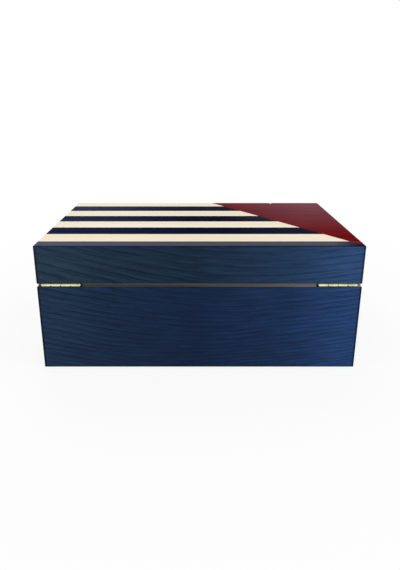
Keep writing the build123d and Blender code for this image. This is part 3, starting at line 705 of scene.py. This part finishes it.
class HUMIDOR_OT_stage(bpy.types.Operator):
    """Set the pale floor, the world, the soft lamps, the cards for reflections and the camera"""

    bl_idname = "humidor.stage"
    bl_label = "Stage"

    def execute(self, context):
        light = context.scene.humidor_light
        self.floor()
        self.world(context, light.ambient)
        self.cards(light)
        key_lamp = soft_lamp("key_lamp", (0.35, 1.5, 1.55), 3.6, light.key_power)
        # The ceiling shows in the brass instead of this lamp.
        key_lamp.visible_glossy = False
        soft_lamp("side_lamp", (-1.5, 0.5, 0.9), 1.4, light.side_power)
        soft_lamp("fill_lamp", (0.5, -1.5, 1.3), 1.6, light.fill_power)
        self.camera(context)
        context.scene.view_settings.view_transform = "Standard"
        return {"FINISHED"}

    def floor(self):
        """Pale floor, which fades to plain white away from the box's shadow."""
        floor = new_piece("floor", bpy.ops.mesh.primitive_plane_add, size=14,
                          location=(0, 0, -0.2 * mm))
        material, tree = new_material("pale_floor")
        where = add_node(tree, "TexCoord")
        away = add_node(tree, "VectorMath", (where.outputs["Object"],), operation="LENGTH")
        white = add_node(tree, "MapRange", (away.outputs["Value"], 0.25, 0.8, 0.87, 1.0))
        share = add_node(tree, "Math", (seen_directly(tree), white), operation="MULTIPLY")
        matt = add_node(tree, "BsdfDiffuse", ((0.82, 0.82, 0.82, 1),))
        mix = add_node(tree, "MixShader", (share, matt, add_node(tree, "Emission")))
        add_node(tree, "OutputMaterial", (mix,))
        wear(material, floor)

    def world(self, context, ambient):
        """White to the camera, mirrors and glass, and softer as a light."""
        world = bpy.data.worlds.new("white_surround")
        context.scene.world = world
        tree = empty_tree(world)
        strength = add_node(tree, "MapRange", {0: seen_directly(tree), 3: ambient, 4: 1.0})
        white = add_node(tree, "Background", ((1, 1, 1, 1), strength))
        add_node(tree, "OutputWorld", (white,))

    def cards(self, light):
        """What the lacquer and the brass reflect: a pale mat, a dim ceiling, a grey card beyond
        the back, and a dark card beyond the front with a pale one over it."""
        self.card("reflected_mat", (0, 0, -0.1 * mm), (2, 2), 0, light.mat_grey)
        self.card("reflected_ceiling", (0, 0, 2.4), (6, 6), 0, light.ceiling_grey)
        self.card("reflected_back_card", (0, 1.9, 0.75), (3.6, 0.9), quarter_turn, 0.5)
        pale = self.card("reflected_pale_card", (0.06, -1.62, 0.856), (1.68, 0.49), quarter_turn, 0.0)
        tree, place, glow = self.graded(pale)
        fade = add_node(tree, "MapRange", (place["X"], -0.75, -0.62, 0.0, 0.83))
        tree.links.new(fade.outputs[0], glow.inputs["Strength"])
        glow.inputs["Color"].default_value = (0.87, 0.88, 1.0, 1)
        dark = self.card("reflected_dark_card", (0, -1.63, 0.7), (2.6, 1.4), quarter_turn, 1.0)
        tree, place, glow = self.graded(dark)
        height = add_node(tree, "MapRange", (place["Z"], 0.42, 0.62))
        middle = add_node(tree, "ValToRGB", (height,))
        set_stops(middle, (0.0, (0.19, 0.19, 0.17)), (0.2, (0.085, 0.085, 0.08)), (0.4, (0.02,) * 3),
                  (1.0, (0.01,) * 3))
        sides = add_node(tree, "ValToRGB", (height,))
        set_stops(sides, (0.0, (0.48, 0.48, 0.62)), (0.35, (0.26, 0.26, 0.33)),
                  (0.7, (0.06, 0.06, 0.08)), (0.85, (0.01,) * 3))
        to_right = add_node(tree, "MapRange", (place["X"], -0.12, -0.48, 0.0, 1.0))
        to_left = add_node(tree, "MapRange", (place["X"], 0.2, 0.6, 0.0, 0.4))
        share = add_node(tree, "Math", (to_right, to_left), operation="MAXIMUM")
        colour = add_node(tree, "Mix", {0: share, 6: middle, 7: sides}, data_type="RGBA")
        tree.links.new(colour.outputs[2], glow.inputs["Color"])

    def graded(self, card):
        """A card's nodes, its own coordinates and its glow, for a card that isn't of one grey."""
        tree = card.active_material.node_tree
        where = add_node(tree, "TexCoord")
        parts = add_node(tree, "SeparateXYZ", (where.outputs["Object"],))
        return tree, parts.outputs, tree.nodes["Emission"]

    def card(self, name, place, size, turn, grey):
        """A flat card of one grey, seen only by mirror-like reflections."""
        card = new_piece(name, bpy.ops.mesh.primitive_plane_add, (*size, 1), size=1, location=place,
                         rotation=(turn, 0, 0))
        material, tree = new_material(name)
        glow = add_node(tree, "Emission", {"Strength": grey})
        add_node(tree, "OutputMaterial", (glow,))
        wear(material, card)
        for rays in ("camera", "diffuse", "transmission", "shadow", "volume_scatter"):
            setattr(card, "visible_" + rays, False)
        return card

    def camera(self, context):
        view = context.scene.humidor_view
        deselect()
        bpy.ops.object.camera_add(location=view.place,
                                  rotation=(quarter_turn - view.tilt, 0, 2 * quarter_turn))
        camera = bpy.context.object
        camera.name = "main_camera"
        camera.data.lens = view.lens
        camera.data.sensor_width = 36
        camera.data.shift_x = view.shift
        context.scene.camera = camera


# The pieces


class HUMIDOR_OT_veneers(bpy.types.Operator):
    """Stain and lacquer the outer veneers: blue back and sides, and the striped inlay"""

    bl_idname = "humidor.veneers"
    bl_label = "Veneers"

    def execute(self, context):
        look = context.scene.humidor_veneer
        half_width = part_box("lid_side_veneers")[1].x / mm
        half_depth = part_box("lid_back_veneer")[1].y / mm
        for part in ("lid", "base"):
            stain_and_side_light = [getattr(look, part + end) for end in ("_right", "_middle", "_left")]
            back = crown_cut_blue(f"blue_ash_of_{part}_back", *stain_and_side_light, half_width)
            sides = crown_cut_blue(f"blue_ash_of_{part}_sides", *stain_and_side_light, half_depth, quarter_turn)
            wear(back, part + "_back_veneer")
            wear(sides, part + "_side_veneers")
        wear(straight_veneer("lacquered_navy_ash", look.navy, look.navy_light, 0.22, 0.45,
                             ends=(0.45, 1.25)),
             "base_blue_stripes", "lid_blue_stripes")
        wear(straight_veneer("lacquered_ivory_maple", look.ivory, look.ivory_dark, 0.3, 0.06,
                             (0, 40, 11), (0.99, 1.04)),
             "base_white_stripes", "lid_white_stripes", "base_star", "lid_star")
        wear(straight_veneer("lacquered_red_ash", look.red, look.red_dark, 0.22, 0.35, (0, 17, 5)),
             "base_red_field", "lid_red_field")
        return {"FINISHED"}


class HUMIDOR_OT_core_boards(bpy.types.Operator):
    """Finish the bare core boards that the veneers lie on"""

    bl_idname = "humidor.core_boards"
    bl_label = "Core boards"

    def execute(self, context):
        look = context.scene.humidor_wood
        # The long boards carry the painted shade and light at the hinges.
        along = stained_at_the_hinges(bare_board("bare_core_board", look.core, look.core_dark))
        across = bare_board("bare_core_board_sides", look.core, look.core_dark, quarter_turn)
        wear(along, "base_front_wall", "base_back_wall", "base_floor_panel",
             "lid_front_rail", "lid_back_rail", "lid_top_panel")
        wear(across, "base_left_wall", "base_right_wall", "lid_left_rail", "lid_right_rail")
        return {"FINISHED"}


class HUMIDOR_OT_cedar(bpy.types.Operator):
    """Finish the cedar lining, the tray and the dividers"""

    bl_idname = "humidor.cedar"
    bl_label = "Cedar"

    def execute(self, context):
        look = context.scene.humidor_wood
        along = bare_board("sanded_cedar", look.cedar, look.cedar_dark)
        across = bare_board("sanded_cedar_sides", look.cedar, look.cedar_dark, quarter_turn)
        ends = ("_left", "_right", "_divider", "_ledges")
        for node in frame["nodes"]:
            is_cedar = frame["nodes"][node].material_slots[0].name.startswith("cedar")
            if is_cedar and node != "tray_frame":
                piece = eased_copy("cedar_" + node, node, look.edge_ease)
                wear(across if node.endswith(ends) else along, piece)
                stand_for(piece, "cedar", node)
        self.tray_frame(look.edge_ease, along, across)
        return {"FINISHED"}

    def tray_frame(self, ease, along, across):
        """Four butted boards, eased one by one. The grain of the two end boards runs to the back."""
        wall, touching = 6 * mm, 0.01 * mm
        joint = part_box("tray_frame")[1].y - wall

        def on_end_board(face):
            past_joint = abs(face.center.y) - joint
            faces_out = face.normal.y * face.center.y > 0
            return past_joint < -touching or (past_joint < touching and faces_out)

        ends = eased_copy("cedar_tray_ends", "tray_frame", ease, on_end_board)
        sides = eased_copy("cedar_tray_frame", "tray_frame", ease, lambda face: not on_end_board(face))
        wear(across, ends)
        wear(along, sides)
        stand_for(join("cedar_tray_frame", ends, sides), "cedar", "tray_frame")


class HUMIDOR_OT_brass(bpy.types.Operator):
    """Polish the hinges, the lock and its plates, and finish the steel bolt"""

    bl_idname = "humidor.brass"
    bl_label = "Hinges and lock"

    def execute(self, context):
        look = context.scene.humidor_metal
        brass = polished_metal("polished_brass", look.brass, look.brass_dull, 0.2)
        steel = polished_metal("satin_steel", look.steel, look.steel, 0.3)
        wear(brass, "hinge_base_leaves", "hinge_lid_leaves", "hinge_pins", "hinge_base_screws",
             "hinge_lid_screws", "lock_case", "lock_screws", "lock_strike", "lock_strike_screws",
             "keyhole_escutcheon")
        wear(steel, "lock_bolt", "humidifier_magnets")
        return {"FINISHED"}


class HUMIDOR_OT_key(bpy.types.Operator):
    """Turn and cast the key: a ring bow, a moulded shoulder, a shaft and its bit"""

    bl_idname = "humidor.key"
    bl_label = "Key"

    def execute(self, context):
        low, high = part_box("key")
        bow_radius = 8.5 * mm
        middle = Vector((0, low.y + bow_radius, high.z - bow_radius))
        bow = self.bow(middle, bow_radius)
        stem = turned("key_stem", self.stem_outline(high.y - middle.y))
        put(stem, middle, (-quarter_turn, 0, 0))
        key = join("cast_key", bow, stem, self.bit(high.y, middle.z))
        wear(bpy.data.materials["polished_brass"], smooth(key))
        stand_for(key, "brass", "key")
        return {"FINISHED"}

    def bow(self, middle, radius):
        """A ring of wire, flattened from side to side."""
        wire, half_thickness = 1.95 * mm, 1.3 * mm
        bow = new_piece("key_bow", bpy.ops.mesh.primitive_torus_add, (1, 1, half_thickness / wire),
                        major_radius=radius - wire, minor_radius=wire, major_segments=64,
                        minor_segments=20)
        return put(bow, middle, (0, quarter_turn, 0))

    def stem_outline(self, length):
        """Radius and distance from the bow's middle: a neck, a bead, a collar, then the plain shaft."""
        start, bead_place, collar_start, collar_place, shaft_start = (
            5.0 * mm, 10.2 * mm, 12.3 * mm, 13.1 * mm, 14.1 * mm)
        core, neck, bead, collar, shaft = 0.1 * mm, 1.3 * mm, 2.5 * mm, 3.2 * mm, 2.0 * mm
        ease, chamfer = 0.5 * mm, 0.4 * mm
        return [
            (core, start), (neck, start), (neck, bead_place - 0.8 * bead),
            *arc((0, bead_place), bead, 0.8 * bead, range(-66, 67, 22)),
            (1.1 * neck, bead_place + 0.85 * bead), (collar - ease, collar_start),
            *arc((collar - ease, collar_place), ease, 0.8 * mm, (-60, -20, 20, 60)),
            (shaft, shaft_start), (shaft, length - chamfer), (shaft - chamfer, length), (core, length),
        ]

    def bit(self, inner_end, height):
        """The flag at the end of the shaft, with its corners eased."""
        thickness, length, drop = 1.8 * mm, 3.6 * mm, 5.4 * mm
        bit = new_piece("key_bit", bpy.ops.mesh.primitive_cube_add, (thickness, length, drop), size=1,
                        location=(0, inner_end - length / 2, height - drop / 2))
        return apply_modifier(bit, "BEVEL", width=0.25 * mm, segments=2)


class HUMIDOR_OT_hygrometer(bpy.types.Operator):
    """Turn the hygrometer's case, print its scale, and fit its needle and glass"""

    bl_idname = "humidor.hygrometer"
    bl_label = "Hygrometer"

    def execute(self, context):
        look = context.scene.humidor_dial
        low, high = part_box("hygrometer_case")
        middle = (low + high) / 2
        case = turned("turned_hygrometer_case", self.case_outline(low.z, high.z), 144)
        put(case, (middle.x, middle.y, 0))
        wear(bpy.data.materials["polished_brass"], smooth(case))
        stand_for(case, "brass", "hygrometer_case")
        wear(enamel("white_enamel", look.enamel, 0.35), "hygrometer_dial")
        wear(clear_glass("watch_glass"), "hygrometer_glass")
        self.scale(look, Vector((middle.x, middle.y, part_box("hygrometer_dial")[0].z)))
        wear(bpy.data.materials["black_print"], "hygrometer_needle")
        self.cap(middle)
        return {"FINISHED"}

    def case_outline(self, face, back):
        """The section of the case: a beaded bezel, a fluted side and an open middle for the dial."""
        edge, opening, room = 28.0 * mm, 24.2 * mm, 26.4 * mm
        bezel, floor = face + 1.5 * mm, back - 3.0 * mm
        bead, corner, flute = 1.0 * mm, 1.0 * mm, 0.5 * mm
        return [
            (opening, bezel), (opening, face + 0.7 * bead),
            *arc((opening + bead, face + 0.7 * bead), -bead, -0.7 * bead, range(0, 181, 30)),
            (opening + 2.3 * bead, face + 0.5 * mm), (edge - 1.3 * mm, face + 0.3 * mm),
            *arc((edge - corner, face + 1.2 * mm), corner, corner, (-90, -60, -30, 0)),
            (edge, face + 2.4 * mm), (edge - flute, face + 2.7 * mm),
            (edge - flute, face + 3.1 * mm), (edge, face + 3.4 * mm), (edge, back),
            (0.4 * mm, back), (0.4 * mm, floor), (room, floor), (room, bezel), (opening, bezel),
        ]

    def on_dial(self, centre, radius, share, span):
        """A point of the scale, read from below with 12 o'clock towards the front."""
        angle = (share - 0.5) * span
        return centre + Vector((radius * math.sin(angle), -radius * math.cos(angle), 0)), angle

    def scale(self, look, centre):
        """Ticks, numbers, a ring and the comfort band, printed on the face that looks down."""
        ink = 0.06 * mm
        half_ink = Vector((0, 0, ink / 2))
        tick_end, numbers, percent_sign = 22.6 * mm, 16.6 * mm, Vector((0, 9.5 * mm, 0))
        marks = []
        for step in range(look.ticks + 1):
            share = step / look.ticks
            whole = step % 5 == 0
            length, width = (3.0 * mm, 0.55 * mm) if whole else (1.7 * mm, 0.28 * mm)
            place, angle = self.on_dial(centre, tick_end - length / 2, share, look.span)
            marks.append(new_piece("tick", bpy.ops.mesh.primitive_cube_add, (width, length, ink),
                                   size=1, location=place - half_ink, rotation=(0, 0, angle)))
            if whole:
                place, angle = self.on_dial(centre, numbers, share, look.span)
                marks.append(self.printed(str(round(100 * share)), place, look.number_height, ink))
        marks.append(self.printed("%", centre + percent_sign, look.number_height, ink))
        marks.append(self.band(centre, (23.1 * mm, 23.35 * mm), (0.0, 1.0), look.span, ink))
        scale = join("printed_scale", *marks)
        wear(enamel("black_print", look.ink, 0.5), scale)
        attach(scale, "lid")
        comfort = self.band(centre, (18.6 * mm, 19.4 * mm), (0.65, 0.75), look.span, ink)
        comfort.name = "comfort_band"
        wear(enamel("green_print", look.comfort, 0.5), comfort)
        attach(comfort, "lid")

    def printed(self, words, place, height, ink):
        """A number printed on the face, as a thin mesh."""
        deselect()
        bpy.ops.object.text_add(location=place)
        text = bpy.context.object.data
        text.body = words
        text.size = height / 0.7
        text.align_x = "CENTER"
        text.align_y = "CENTER"
        text.extrude = ink / 2
        bpy.ops.object.convert(target="MESH")
        return put(bpy.context.object, place - Vector((0, 0, ink / 2)), (2 * quarter_turn, 0, 0))

    def band(self, centre, radii, shares, span, ink):
        """A printed arc between two radii and two shares of the scale."""
        widening = radii[1] / radii[0]
        band = new_piece("band", bpy.ops.mesh.primitive_circle_add, vertices=240, radius=radii[0],
                         location=centre)
        begin_edit(band)
        bpy.ops.mesh.extrude_region_move()
        bpy.ops.transform.resize(value=(widening, widening, 1), center_override=centre)
        end_edit()

        def on_band(face):
            away = face.center - centre
            return shares[0] < math.atan2(away.x, -away.y) / span + 0.5 < shares[1]

        keep_faces(band, on_band)
        begin_edit(band)
        bpy.ops.mesh.extrude_region_move(TRANSFORM_OT_translate={"value": (0, 0, -ink)})
        bpy.ops.mesh.select_all(action="SELECT")
        bpy.ops.mesh.normals_make_consistent(inside=False)
        end_edit()
        return band

    def cap(self, middle):
        """A domed brass cap on the needle's hub."""
        radius, height, rim = 1.5 * mm, 0.7 * mm, 0.1 * mm
        cap = turned("needle_cap", [
            (radius, rim), (radius, -rim),
            *arc((0, -rim), radius, -height, (15, 30, 45, 60, 75, 88)),
            (0.05 * mm, rim), (radius, rim)], 48)
        put(cap, (middle.x, middle.y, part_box("hygrometer_needle")[0].z))
        wear(bpy.data.materials["polished_brass"], smooth(cap))
        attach(cap, "needle")


class HUMIDOR_OT_humidifier(bpy.types.Operator):
    """Mould the humidifier's case, brush its grille and fill it with foam"""

    bl_idname = "humidor.humidifier"
    bl_label = "Humidifier"

    def execute(self, context):
        look = context.scene.humidor_metal
        wear(moulded_plastic("moulded_black_abs", "#17181A", 0.42), "humidifier_case")
        wear(polished_metal("brushed_brass_grille", look.brass, look.brass_dull, 0.3), "humidifier_grille")
        low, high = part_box("humidifier_foam")
        foam = new_piece("foam_block", bpy.ops.mesh.primitive_cube_add, high - low, size=1,
                         location=(low + high) / 2)
        begin_edit(foam)
        bpy.ops.mesh.bisect(plane_co=(low + high) / 2, plane_no=(1, 0, 0))
        end_edit()
        apply_modifier(foam, "BEVEL", width=1.2 * mm, segments=2)
        apply_modifier(foam, "REMESH", mode="VOXEL", voxel_size=1.3 * mm)
        pits = bpy.data.textures.new("foam_pits", "CLOUDS")
        pits.noise_scale = 2.2 * mm
        apply_modifier(foam, "DISPLACE", texture=pits, strength=0.7 * mm, mid_level=1.0)
        wear(open_foam("green_open_foam", "#5C6B58"), foam)
        stand_for(foam, "foam", "humidifier_foam")
        return {"FINISHED"}


class HUMIDOR_OT_felt(bpy.types.Operator):
    """Cut the felt pad under the box"""

    bl_idname = "humidor.felt"
    bl_label = "Felt pad"

    def execute(self, context):
        low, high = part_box("base_felt")
        size = high - low
        felt = new_piece("felt_pad", bpy.ops.mesh.primitive_cube_add, size, size=1,
                         location=(low + high) / 2)
        apply_modifier(felt, "BEVEL", width=0.35 * mm, segments=3)
        wear(pressed_felt("pressed_black_felt", "#23262C"), felt)
        stand_for(felt, "felt", "base_felt")
        return {"FINISHED"}


class HUMIDOR_PT_panel(bpy.types.Panel):
    """The pieces of the humidor, in the order in which they are made"""

    bl_label = "Humidor"
    bl_idname = "HUMIDOR_PT_panel"
    bl_space_type = "VIEW_3D"
    bl_region_type = "UI"
    bl_category = "Humidor"

    def draw(self, context):
        for operator in operators:
            self.layout.operator(operator.bl_idname)


groups = {
    "humidor_view": HumidorView,
    "humidor_light": HumidorLight,
    "humidor_veneer": HumidorVeneer,
    "humidor_wood": HumidorWood,
    "humidor_metal": HumidorMetal,
    "humidor_dial": HumidorDial,
}
operators = (
    HUMIDOR_OT_stage,
    HUMIDOR_OT_veneers,
    HUMIDOR_OT_core_boards,
    HUMIDOR_OT_cedar,
    HUMIDOR_OT_brass,
    HUMIDOR_OT_key,
    HUMIDOR_OT_hygrometer,
    HUMIDOR_OT_humidifier,
    HUMIDOR_OT_felt,
)


def register():
    for kind in (*groups.values(), *operators, HUMIDOR_PT_panel):
        bpy.utils.register_class(kind)
    for name, kind in groups.items():
        setattr(bpy.types.Scene, name, PointerProperty(type=kind))


def unregister():
    for name in groups:
        delattr(bpy.types.Scene, name)
    for kind in (HUMIDOR_PT_panel, *reversed(operators), *groups.values()):
        bpy.utils.unregister_class(kind)


def main():
    register()
    bpy.ops.humidor.stage()
    bpy.ops.humidor.veneers()
    bpy.ops.humidor.core_boards()
    bpy.ops.humidor.cedar()
    bpy.ops.humidor.brass()
    bpy.ops.humidor.key()
    bpy.ops.humidor.hygrometer()
    bpy.ops.humidor.humidifier()
    bpy.ops.humidor.felt()


if __name__ == "__main__":
    main()
